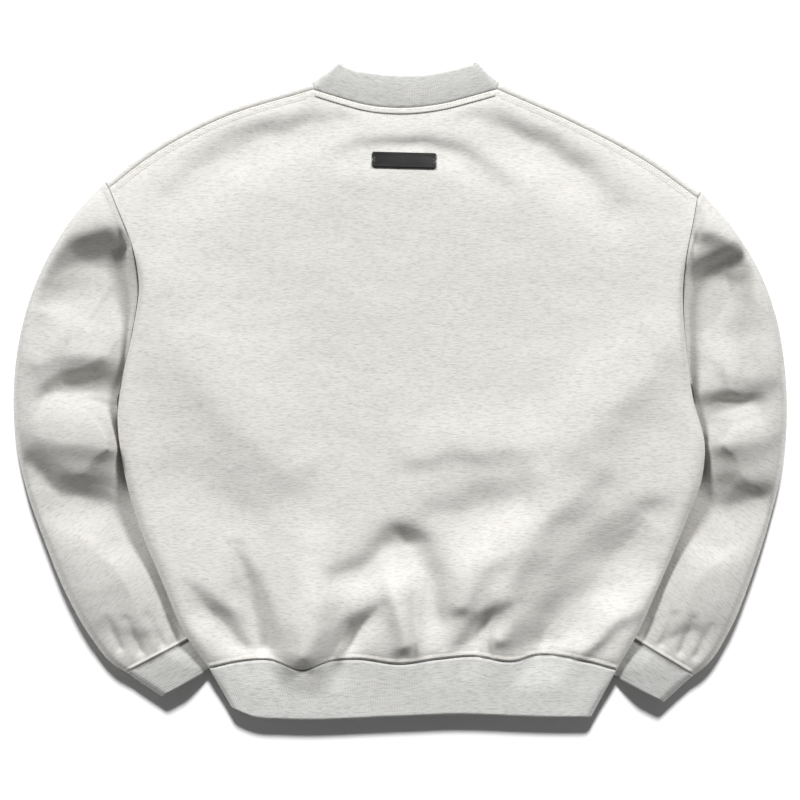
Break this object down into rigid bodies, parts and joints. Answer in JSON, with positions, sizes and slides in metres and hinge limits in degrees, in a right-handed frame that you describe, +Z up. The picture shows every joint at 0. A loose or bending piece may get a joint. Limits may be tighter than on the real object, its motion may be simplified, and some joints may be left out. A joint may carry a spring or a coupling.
{
  "type": "sweatshirt",
  "caption": "Oversized crewneck sweatshirt laid flat with its back up: two body panels, tucked sleeves, ribbed cuffs, hem band and collar, neck tape and a plain back label.",
  "frame": {"origin": "on the surface the garment lies on, under the middle of its box", "axes": "+Z up out of the back, +Y towards the collar, +X towards the side of the right sleeve as seen from above"},
  "size_m": [0.8059, 0.6831, 0.0404],
  "materials": {
    "fleece": "brushed heather fleece, pale oatmeal",
    "rib": "doubled heather rib knit, a shade darker",
    "rubber": "satin black"
  },
  "bodies": {
    "root": {"back_panel": "fleece", "front_panel": "fleece", "sleeve_left": "fleece", "sleeve_right": "fleece", "cuff_left": "rib", "cuff_right": "rib", "hem_band": "rib", "collar": "rib", "neck_tape": "fleece", "label": "rubber"}
  },
  "joints": []
}
